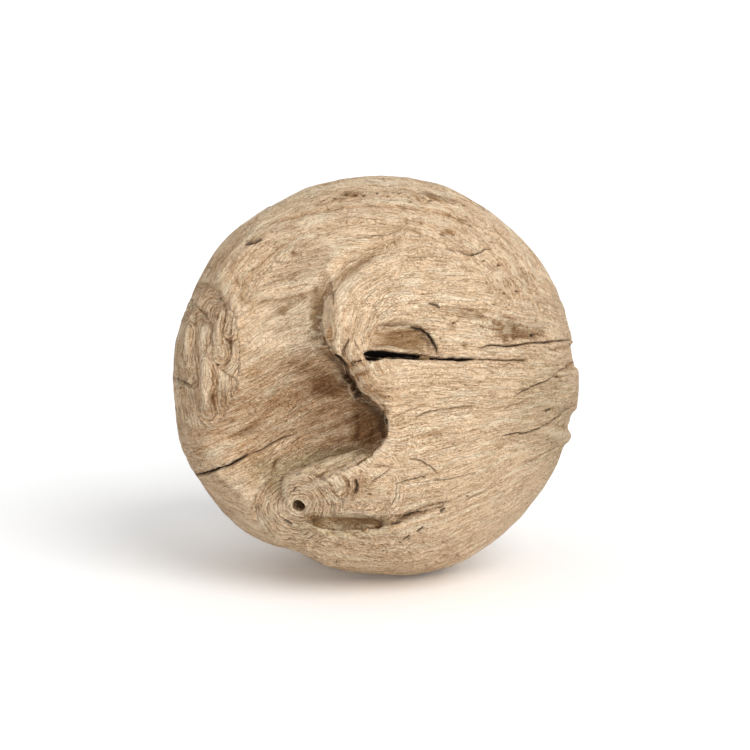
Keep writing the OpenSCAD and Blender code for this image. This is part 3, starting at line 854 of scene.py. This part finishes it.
def paint_masks(mesh, dark, crease):
    """What the finish needs to know at each point: the fibres, the rings and where the wood is brown, pale,
    grey or stained, and where light and shade are painted: dark in creases, worm holes, splits and inside the
    hollow's lip, paler on the underside and right side."""
    points, normals = read_mesh(mesh)
    edges = edge_list(mesh)
    front = Front(points, normals)
    p = from_centre(points)
    plain, turned, share, drawn = fibres(points, front)
    store(mesh, "plain", plain / FIBRE_UNIT)
    store(mesh, "turned", turned / FIBRE_UNIT)
    store(mesh, "share", share)
    store(mesh, "drawn", drawn)
    sunk = RADIUS / MM - np.linalg.norm(p, axis=1)
    u, w = front.places.T
    depth = smooth(sunk, 6, 30) * front.facing
    # the hollow's brown floor lies between its pale bowl above and its grey lower wall
    upper = smooth(w - 0.45 * np.minimum(u + 123, 0), 34, 14)
    lower = smooth(w - 0.25 * np.minimum(u + 60, 0), -88, -66)
    left = patch(front.places, *HOLLOW_FLOOR, 0.2) * front.facing
    aside, place = lip_side(front.places)
    # painted shade: the strip just inside the hollow's lip lies under the lip and is painted brown here and
    # stained below, as its shade
    under = smooth(aside, -0.2, 1.2) * smooth(aside, 22, 8) * ends(place, 0, 0.1)
    under = under * front.facing * smooth(w, -96, -70)
    warm = 0.6 * smooth(u, -110, -160) * front.facing
    store(mesh, "brown", np.maximum(upper * lower * np.maximum(depth, left * 0.8), np.maximum(under, warm)))
    bowl = patch(front.places, *BOWL)
    store(mesh, "pale", bowl * depth)
    trough = patch(front.places, *TROUGH) * front.facing
    low_wall = depth * smooth(w - 0.2 * np.minimum(u + 60, 0), -66, -90) * smooth(u, 20, -10)
    rim = smooth(np.hypot(u, w), 180, 208) * smooth(u, 120, -60) * front.facing
    grey = low_wall + trough + 0.25 * rim + 0.5 * patch(front.places, *GREY_RIGHT)
    store(mesh, "grey", np.clip(grey, 0, 1))
    # how far each point lies in a crease or stands on a raised edge: the finish paints shade into creases and
    # paints raised edges paler, as a highlight
    cavity = 2 * np.einsum("ij,ij->i", relaxed(points, edges, 4) - points, normals) / MM
    store(mesh, "cavity", np.clip(relaxed(cavity, edges, 1), -3, 5))
    store(mesh, "tint", np.maximum(tint_field(front.places), 0.9 * under) * front.weight)
    # painted shade: the wall just inside the lip, and the walls of the main split, lie in the dark and are
    # painted dark
    band = smooth(aside, -0.4, 0.6) * smooth(aside, 16, 7) * smooth(w, -66, -50) * smooth(w, 26, 18)
    gap, place = line_distance(front.places, MAIN_SPLIT)
    beside = (gap > 6) & (gap < 12) & (front.weight > 0.9)
    stops = np.linspace(0.05, 0.95, 10)
    levels = [np.median(sunk[beside & (np.abs(place - stop) < 0.06)]) for stop in stops]
    level = np.interp(place, stops, levels)
    walls = smooth(gap, 7, 5) * smooth(sunk - level, 5, 14) * smooth(1 - place, 0, 0.1)
    store(mesh, "pit", np.maximum(dark, np.maximum(0.55 * band * front.facing, walls)))
    store(mesh, "rough", np.maximum(pecked(p, front), 0.55) * (1 - 0.8 * depth))
    store(mesh, "crease", crease)


# Finishes


def screen(red, green, blue):
    """A colour given as it shows on a screen, from 0 to 255, as the light values that Blender keeps."""
    values = [c / 255 for c in (red, green, blue)]
    return tuple(c / 12.92 if c <= 0.04045 else ((c + 0.055) / 1.055) ** 2.4 for c in values)


class Bench:
    """Adds and joins the nodes of one tree in few words. An input may be a number, a colour or a socket."""

    def __init__(self, tree):
        self.tree = tree

    def node(self, kind, inputs=None, **settings):
        made = self.tree.nodes.new("ShaderNode" + kind)
        for name, value in settings.items():
            setattr(made, name, value)
        for name, value in (inputs or {}).items():
            self.feed(made.inputs[name], value)
        return made

    def feed(self, socket, value):
        if isinstance(value, bpy.types.NodeSocket):
            self.tree.links.new(value, socket)
        elif socket.type == "RGBA" and len(value) == 3:
            socket.default_value = (*value, 1)
        else:
            socket.default_value = value

    def maths(self, operation, a, b=0.0):
        made = self.node("Math", operation=operation)
        for socket, value in zip(made.inputs, (a, b)):
            self.feed(socket, value)
        return made.outputs[0]

    def times(self, a, b):
        return self.maths("MULTIPLY", a, b)

    def ramp(self, value, low, high, start=0.0, end=1.0):
        entries = {"Value": value, "From Min": low, "From Max": high, "To Min": start, "To Max": end}
        return self.node("MapRange", entries, interpolation_type="SMOOTHSTEP").outputs[0]

    def blend(self, share, a, b, kind="MIX"):
        made = self.node("Mix", data_type="RGBA", blend_type=kind)
        for socket, value in ((made.inputs[0], share), (made.inputs[6], a), (made.inputs[7], b)):
            self.feed(socket, value)
        return made.outputs[2]

    def between(self, share, a, b):
        made = self.node("Mix", data_type="FLOAT")
        for socket, value in ((made.inputs[0], share), (made.inputs[2], a), (made.inputs[3], b)):
            self.feed(socket, value)
        return made.outputs[0]

    def scaled(self, vector, scale):
        made = self.node("VectorMath", operation="MULTIPLY")
        self.feed(made.inputs[0], vector)
        made.inputs[1].default_value = scale
        return made.outputs[0]

    def noise(self, vector, detail=2, roughness=0.5, warp=0.0):
        entries = {"Vector": vector, "Detail": detail, "Roughness": roughness, "Distortion": warp, "Scale": 1}
        return self.node("TexNoise", entries).outputs["Fac"]

    def crests(self, value, low):
        """Thin lines where a noise crosses its middle value."""
        return self.ramp(self.maths("ABSOLUTE", self.maths("SUBTRACT", value, 0.5)), low, 0.004)

    def watched(self):
        """1 for rays of the camera and of mirrors and glass, and 0 for those that only carry light."""
        path = self.node("LightPath").outputs
        mirrored = self.maths("MAXIMUM", path["Is Glossy Ray"], path["Is Transmission Ray"])
        return self.maths("MAXIMUM", path["Is Camera Ray"], mirrored)

    def mask(self, name):
        return self.node("Attribute", attribute_name=name).outputs["Fac"]

    def places(self, name):
        """Coordinates kept on the mesh, in millimetres."""
        return self.scaled(self.node("Attribute", attribute_name=name).outputs["Vector"], (FIBRE_UNIT,) * 3)


def shared_group(name, entry, build):
    """A node group that turns a vector into the values that build makes of it, each under its own name."""
    tree = bpy.data.node_groups.new(name, "ShaderNodeTree")
    tree.interface.new_socket(entry, in_out="INPUT", socket_type="NodeSocketVector")
    values = build(Bench(tree), tree.nodes.new("NodeGroupInput").outputs[entry])
    for label in values:
        tree.interface.new_socket(label, in_out="OUTPUT", socket_type="NodeSocketFloat")
    end = tree.nodes.new("NodeGroupOutput")
    for label, value in values.items():
        tree.links.new(value, end.inputs[label])
    return tree


def grain(b, start):
    """Fibres of old root wood from coordinates along and across them, in millimetres: soft broad bands, fine
    streaks, single hairs, and the thin dark lines of the year rings."""
    crest = b.noise(b.scaled(start, (1 / 40, 1 / 4, 1 / 40)), detail=2, warp=0.6)
    return {
        "Bands": b.noise(b.scaled(start, (1 / 50, 1 / 7, 1 / 50)), detail=5, roughness=0.55, warp=0.5),
        "Streaks": b.noise(b.scaled(start, (1 / 9, 1 / 1.6, 1 / 9)), detail=3, roughness=0.65, warp=0.5),
        "Hairs": b.noise(b.scaled(start, (1 / 2.4, 1 / 1.2, 1 / 2.4)), detail=2, roughness=0.7),
        "Lines": b.crests(crest, 0.035),
        "Flecks": b.noise(b.scaled(start, (1 / 5, 1 / 2.4, 1 / 5)), detail=4, roughness=0.75, warp=0.8),
    }


def weather(b, start):
    """What weather does to bare wood, from the place in millimetres: soft stains, fine mottling, specks,
    curled lines and grit."""
    curl = b.noise(b.scaled(start, (1 / 9, 1 / 9, 1 / 6)), detail=2, roughness=0.6, warp=1.6)
    return {
        "Stains": b.noise(b.scaled(start, (1 / 55, 1 / 55, 1 / 38)), detail=4, roughness=0.55, warp=0.6),
        "Mottle": b.noise(b.scaled(start, (1 / 5, 1 / 5, 1 / 4)), detail=3, roughness=0.65),
        "Specks": b.ramp(b.noise(b.scaled(start, (1 / 3.2, 1 / 3.2, 1 / 2)), detail=1), 0.66, 0.73),
        "Curls": b.crests(curl, 0.03),
        "Grit": b.noise(b.scaled(start, (1 / 3, 1 / 3, 1 / 2.2)), detail=4, roughness=0.75, warp=0.4),
    }


def new_material(name):
    """An empty material, and a bench to build it on."""
    material = bpy.data.materials.new(name)
    material.use_nodes = True
    material.node_tree.nodes.clear()
    return material, Bench(material.node_tree)


def wood_material(look):
    """Sun-bleached root wood: warm tan outside, brown in the hollow, grey-green where rain stands."""
    material, b = new_material("weathered_root_wood")
    place = b.scaled(b.node("TexCoord").outputs["Object"], (1 / MM,) * 3)
    turned = b.places("turned")
    fibre = shared_group("Root wood grain", "Fibre", grain)
    along = b.node("Group", node_tree=fibre)
    b.feed(along.inputs["Fibre"], b.places("plain"))
    around = b.node("Group", node_tree=fibre)
    b.feed(around.inputs["Fibre"], turned)
    aged = b.node("Group", node_tree=shared_group("Weather on wood", "Place", weather))
    b.feed(aged.inputs["Place"], place)
    stains, mottle, specks, curls, grit = aged.outputs
    share = b.mask("share")
    bands, streaks, hairs, lines, flecks = (
        b.between(share, *pair) for pair in zip(along.outputs, around.outputs))
    # rings: evenly spaced lines with a little sway
    radius = b.node("SeparateXYZ", {"Vector": turned}).outputs["Y"]
    sway = b.times(b.noise(b.scaled(place, (1 / 9,) * 3)), 9.0)
    turn = b.maths("ADD", b.times(radius, math.tau / look.ring_gap * MM), sway)
    broken = b.ramp(b.noise(b.scaled(place, (1 / 7,) * 3)), 0.36, 0.56)
    rings = b.times(b.times(b.ramp(b.maths("SINE", turn), 0.3, 1.0), broken), b.mask("drawn"))
    # splits: the crease's distance over its half width, and its darkness: painted shade inside the split, and
    # a darker band just beside it
    crease = b.node("Attribute", attribute_name="crease").outputs["Vector"]
    off, half, shade = b.node("SeparateXYZ", {"Vector": crease}).outputs
    off = b.maths("ABSOLUTE", off)
    half = b.maths("MAXIMUM", half, 0.12)
    split = b.times(b.ramp(b.maths("DIVIDE", off, half), 1.5, 0.55), shade)
    darker_beside_split = b.times(b.ramp(b.maths("SUBTRACT", off, half), 1.6, 0.0), shade)

    cavity, pit, brown, worn = b.mask("cavity"), b.mask("pit"), b.mask("brown"), b.mask("rough")
    fibrous = b.maths("ADD", b.times(brown, 0.35), 0.35)
    # fibres show less where the wood is pecked, and grit more
    fresh = b.maths("SUBTRACT", 1.0, b.times(worn, 0.65))
    patchy = b.ramp(b.maths("ADD", stains, b.times(bands, 0.8)), 0.7, 1.05, 0.4, 1.0)
    uneven = b.times(b.maths("SUBTRACT", b.maths("ADD", b.times(stains, 0.6), bands), 0.8), 1.6)
    stains_shade_and_light = b.maths("ADD", b.mask("tint"), uneven)
    tone = b.blend(b.ramp(bands, 0.5, 0.66), look.tan, look.sand)
    for amount, colour, *kind in (
        (b.ramp(bands, 0.48, 0.34, 0, 0.7), look.cream_and_painted_light),
        (b.times(b.ramp(streaks, 0.5, 0.66), fibrous), look.cream_and_painted_light),
        (b.times(b.ramp(streaks, 0.46, 0.3), fibrous), look.streak),
        (b.times(b.ramp(hairs, 0.52, 0.66, 0, 0.7), fresh), look.streak),
        (b.times(b.ramp(hairs, 0.48, 0.34, 0, 0.7), fresh), look.cream_and_painted_light),
        (b.times(b.ramp(flecks, 0.46, 0.32, 0, 0.8), fresh), look.streak),
        (b.times(b.ramp(flecks, 0.54, 0.68, 0, 0.5), fresh), look.cream_and_painted_light),
        (b.times(b.ramp(grit, 0.52, 0.64, 0, 0.75), worn), look.cream_and_painted_light),
        (b.times(b.ramp(grit, 0.47, 0.33), worn), look.streak),
        (b.times(lines, b.ramp(mottle, 0.35, 0.6, 0.2, 0.85)), look.streak),
        (b.times(curls, b.ramp(stains, 0.42, 0.6, 0.1, 0.8)), look.streak),
        (b.times(rings, 0.6), look.deep_brown_and_shade),
        # washes of colour, which leave the fibres to be seen
        # the hollow's brown floor, and painted shade on the strip just inside its lip
        (b.times(brown, patchy), look.brown, "MULTIPLY"),
        (b.times(b.mask("pale"), b.ramp(streaks, 0.4, 0.65, 0.2, 0.6)), look.cream_and_painted_light),
        (b.times(b.mask("grey"), b.ramp(stains, 0.35, 0.6, 0.6, 1.0)), look.grey, "MULTIPLY"),
        # tint: real stains, with painted shade under the hollow's lip and beside the bulge; where negative,
        # bleaching, with painted light on the underside and right side
        (b.ramp(stains_shade_and_light, 0.2, 1.1), look.stain_and_shade, "MULTIPLY"),
        (b.ramp(stains_shade_and_light, -0.3, -1.0, 0, 0.8), look.cream_and_painted_light),
        (b.times(specks, b.ramp(stains_shade_and_light, 0.0, 0.4, 0.2, 0.8)), look.deep_brown_and_shade),
        # painted shade darkens creases and hollows, and raised edges are painted paler as a highlight
        (b.ramp(cavity, 0.2, 1.5), look.stain_and_shade, "MULTIPLY"),
        (b.ramp(cavity, -0.15, -1.0, 0.0, 0.3), look.cream_and_painted_light),
        # painted shade: darker just beside each split, and dark in worm holes, splits, the walls of the main
        # split and the strip just inside the hollow's lip
        (b.times(darker_beside_split, 0.4), look.deep_brown_and_shade),
        (b.ramp(pit, 0.1, 0.6, 0.0, 0.75), look.deep_brown_and_shade),
        (b.ramp(pit, 0.45, 0.95), look.split),
        (split, look.split),
    ):
        tone = b.blend(amount, tone, colour, *kind)

    height = 0.0
    for value, weight in ((streaks, 1.0), (hairs, -0.6), (bands, 1.2), (lines, -0.45), (curls, -0.35),
                          (rings, -1.0), (b.between(worn, flecks, grit), 2.4), (specks, -0.4), (darker_beside_split, -0.8)):
        height = b.maths("ADD", height, b.times(value, weight))
    bump = b.node("Bump", {"Height": height, "Distance": 1.4 * MM, "Strength": 1.0})
    surface = b.node("BsdfPrincipled", {
        "Base Color": tone, "Roughness": b.ramp(streaks, 0.3, 0.7, 0.92, 0.72), "Specular IOR Level": 0.25,
        "Normal": bump.outputs["Normal"]})
    b.node("OutputMaterial", {"Surface": surface.outputs[0]})
    return material


def floor_material(look):
    """White paper that stays white to the camera and to mirrors and still takes the ball's shadow."""
    material, b = new_material("white_floor")
    brightness = b.between(b.watched(), look.floor, look.floor_seen)
    white = b.node("CombineXYZ", {axis: brightness for axis in "XYZ"})
    paper = b.node("BsdfDiffuse", {"Color": white.outputs[0]})
    b.node("OutputMaterial", {"Surface": paper.outputs[0]})
    return material


# What a user may change


def number_field(name, description, default, low=0.0, **more):
    return FloatProperty(name=name, description=description, default=default, min=low, **more)


def length_field(name, description, default, low=0.0):
    return number_field(name, description, default, low, unit="LENGTH")


def angle_field(name, description, degrees):
    return number_field(name, description, math.radians(degrees), subtype="ANGLE")


def count_field(name, description, default, low=0):
    return IntProperty(name=name, description=description, default=default, min=low)


def colour_field(name, description, *values):
    return FloatVectorProperty(
        name=name, description=description, default=screen(*values), subtype="COLOR", min=0, max=1)


class BallShape(bpy.types.PropertyGroup):
    cell: length_field("Working cell", "Cells that the worn skin is first built from", 1.7 * MM, 1.2 * MM)
    finest: length_field("Finest edge", "Longest edge beside a split or a worm hole", 0.95 * MM, 0.5 * MM)
    faces: count_field("Faces", "Triangles of the skin before its splits are cut, about", 112000, 20000)
    most_faces: count_field("Most faces", "Triangles of the finished skin at most", 190000, 20000)
    form_share: number_field("Forms", "Share of the full height of knobs, ridges and dents", 1.0, max=1.5)
    relief: length_field("Relief", "How far the fibres stand out where weather has worn the wood", 1.0 * MM)
    side_splits: count_field("Side splits", "Drying splits on the sides, back and underside", 22)
    side_pits: count_field("Side pits", "Worm holes on the sides, back and underside", 70)
    seed: count_field("Seed", "Which chance marks the hidden sides get", 7)


class BallColours(bpy.types.PropertyGroup):
    tan: colour_field("Tan", "Main colour of the bleached outside", 240, 206, 168)
    sand: colour_field("Sand", "Darker bands of the outside", 221, 184, 146)
    # cream is also painted light: laid on raised edges as a highlight, and over the underside and right side
    # to make them look lit
    cream_and_painted_light: colour_field("Cream", "Palest streaks and worn edges", 255, 236, 204)
    streak: colour_field("Streak", "Thin warm lines and rings", 164, 124, 83)
    # the stain wash is also painted shade: laid over creases, grooves, the strip under the hollow's lip and
    # beside the bulge
    stain_and_shade: colour_field("Stain wash", "Laid over stained places and grooves", 187, 172, 152)
    brown: colour_field("Brown wash", "Laid over the main hollow's floor", 224, 209, 194)
    grey: colour_field("Grey-green wash", "Laid where rain stands and light seldom reaches", 220, 224, 214)
    # deep brown is also painted shade: in worm holes, on the walls of the main split and on the strip inside
    # the hollow's lip; it also darkens the wood just beside each split
    deep_brown_and_shade: colour_field("Deep brown", "Dirt beside splits and in worm holes", 116, 86, 58)
    # the split colour is painted shade inside splits and worm holes
    split: colour_field("Split", "Depth of splits and worm holes", 34, 24, 16)
    ring_gap: length_field("Ring gap", "Distance between the rings round a branch end", 3.6 * MM, 1 * MM)


class StageLook(bpy.types.PropertyGroup):
    floor: number_field("Floor", "Share of the light that the paper under the ball gives back", 0.85, max=1)
    floor_seen: number_field("Floor as seen", "The same share for the camera, so that paper is white", 1.18)
    floor_width: length_field("Floor width", "Width of the floor", 80.0, 5)
    sky: number_field("Room light", "Strength of the even light from all round", 0.58)
    key: number_field("Key light", "Strength of the large lamp at the upper right", 1.5)
    fill: number_field("Fill light", "Strength of the wide lamp low behind the camera", 1.6)
    key_size: angle_field("Key size", "How wide the large lamp looks from the ball", 40)
    fill_size: angle_field("Fill size", "How wide the fill lamp looks from the ball", 16)
    lens: number_field("Lens", "Focal length in millimetres", 133.95, 20)


# Making the pieces


class BALL_OT_carve(bpy.types.Operator):
    """Build the worn skin of the ball over its plain solid, cut its splits and holes, and finish it"""

    bl_idname = "ball.carve"
    bl_label = "Wooden ball"

    def execute(self, context):
        shape = context.scene.ball_shape
        mesh = worked(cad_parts[NODE].data.copy(), "REMESH", mode="VOXEL", voxel_size=shape.cell)
        points, normals = read_mesh(mesh)
        edges = edge_list(mesh)
        # facets of the plain solid go, and its sharp edges stay but are worn
        once = relaxed(points, edges, 3)
        bend = relaxed(np.linalg.norm(relaxed(once, edges, 10) - once, axis=1) / MM, edges, 8)
        keep = np.maximum(smooth(bend, 0.1, 0.2), near_knot_hole(once))
        points = relaxed(once, edges, 60, mix(0.5, 0.02, keep))
        points[:, 2] = np.maximum(points[:, 2], 0)
        write_points(mesh, points)
        for work in (shift_lip, sharpen_lip, lay_forms):
            points, normals = read_mesh(mesh)
            write_points(mesh, work(points, normals, shape))
        mesh = worked(mesh, "DECIMATE", ratio=min(1.0, shape.faces / (2 * len(mesh.polygons))))
        rows = marks(shape)
        refine(mesh, rows, shape.finest)
        points, normals = read_mesh(mesh)
        _, cut, dark, crease = mark_distances(points, normals, rows)
        outward = points - np.array(CENTRE)
        outward = outward / np.linalg.norm(outward, axis=1)[:, None]
        open_skin = smooth(np.einsum("ij,ij->i", outward, normals), 0.2, 0.6)
        write_points(mesh, push(points, outward, -cut * open_skin))
        paint_masks(mesh, dark, crease)
        mesh = worked(mesh, "DECIMATE", ratio=min(1.0, shape.most_faces / len(mesh.polygons)))
        mesh.shade_smooth()
        mesh.materials.clear()
        mesh.materials.append(wood_material(context.scene.ball_colours))
        mesh.name = "weathered_ball"
        piece = bpy.data.objects.new("weathered_ball", mesh)
        context.scene.collection.objects.link(piece)
        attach(piece, "root")
        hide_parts(NODE)
        return {"FINISHED"}


class BALL_OT_stage(bpy.types.Operator):
    """Lay the white floor and set the lamp, the room light and the camera"""

    bl_idname = "ball.stage"
    bl_label = "Stage"

    def execute(self, context):
        scene = context.scene
        look = scene.ball_stage
        mesh = bpy.data.meshes.new("floor")
        half = look.floor_width / 2
        corners = [(-half, -half, 0), (half, -half, 0), (half, half, 0), (-half, half, 0)]
        mesh.from_pydata(corners, [], [(0, 1, 2, 3)])
        mesh.materials.append(floor_material(look))
        floor = bpy.data.objects.new("floor", mesh)
        scene.collection.objects.link(floor)

        for name, strength, size, direction in (
            ("key", look.key, look.key_size, KEY_DIRECTION),
            ("fill", look.fill, look.fill_size, FILL_DIRECTION),
        ):
            lamp = bpy.data.lights.new(name, "SUN")
            lamp.energy = strength
            lamp.angle = size
            light = bpy.data.objects.new(name, lamp)
            light.rotation_euler = Vector(direction).to_track_quat("Z", "Y").to_euler()
            scene.collection.objects.link(light)

        world = bpy.data.worlds.new("room")
        world.use_nodes = True
        world.node_tree.nodes.clear()
        b = Bench(world.node_tree)
        glow = b.node("Background", {"Color": (1, 1, 1), "Strength": b.between(b.watched(), look.sky, 1.0)})
        b.node("OutputWorld", {"Surface": glow.outputs[0]})
        scene.world = world

        camera = bpy.data.objects.new("camera", bpy.data.cameras.new("camera"))
        camera.data.lens = look.lens
        camera.data.sensor_width = SENSOR_WIDTH
        camera.location = CENTRE + EYE_DISTANCE * Vector((0, -EYE_COS, EYE_SIN))
        camera.rotation_euler = (math.pi / 2 - EYE_DROP, 0, 0)
        scene.collection.objects.link(camera)
        scene.camera = camera
        scene.view_settings.view_transform = "Standard"
        return {"FINISHED"}


class BALL_PT_panel(bpy.types.Panel):
    bl_idname = "BALL_PT_panel"
    bl_label = "Weathered wooden ball"
    bl_space_type = "VIEW_3D"
    bl_region_type = "UI"
    bl_category = "Wooden ball"

    def draw(self, context):
        scene = context.scene
        for title, settings, operator in (
            ("Ball", scene.ball_shape, BALL_OT_carve),
            ("Colours", scene.ball_colours, None),
            ("Stage", scene.ball_stage, BALL_OT_stage),
        ):
            box = self.layout.box()
            box.label(text=title)
            for name in settings.__annotations__:
                box.prop(settings, name)
            if operator:
                box.operator(operator.bl_idname)


CLASSES = (BallShape, BallColours, StageLook, BALL_OT_carve, BALL_OT_stage, BALL_PT_panel)


def register():
    for cls in CLASSES:
        bpy.utils.register_class(cls)
    bpy.types.Scene.ball_shape = PointerProperty(type=BallShape)
    bpy.types.Scene.ball_colours = PointerProperty(type=BallColours)
    bpy.types.Scene.ball_stage = PointerProperty(type=StageLook)


def unregister():
    del bpy.types.Scene.ball_stage
    del bpy.types.Scene.ball_colours
    del bpy.types.Scene.ball_shape
    for cls in reversed(CLASSES):
        bpy.utils.unregister_class(cls)


def main():
    register()
    bpy.ops.ball.carve()
    bpy.ops.ball.stage()


if __name__ == "__main__":
    main()
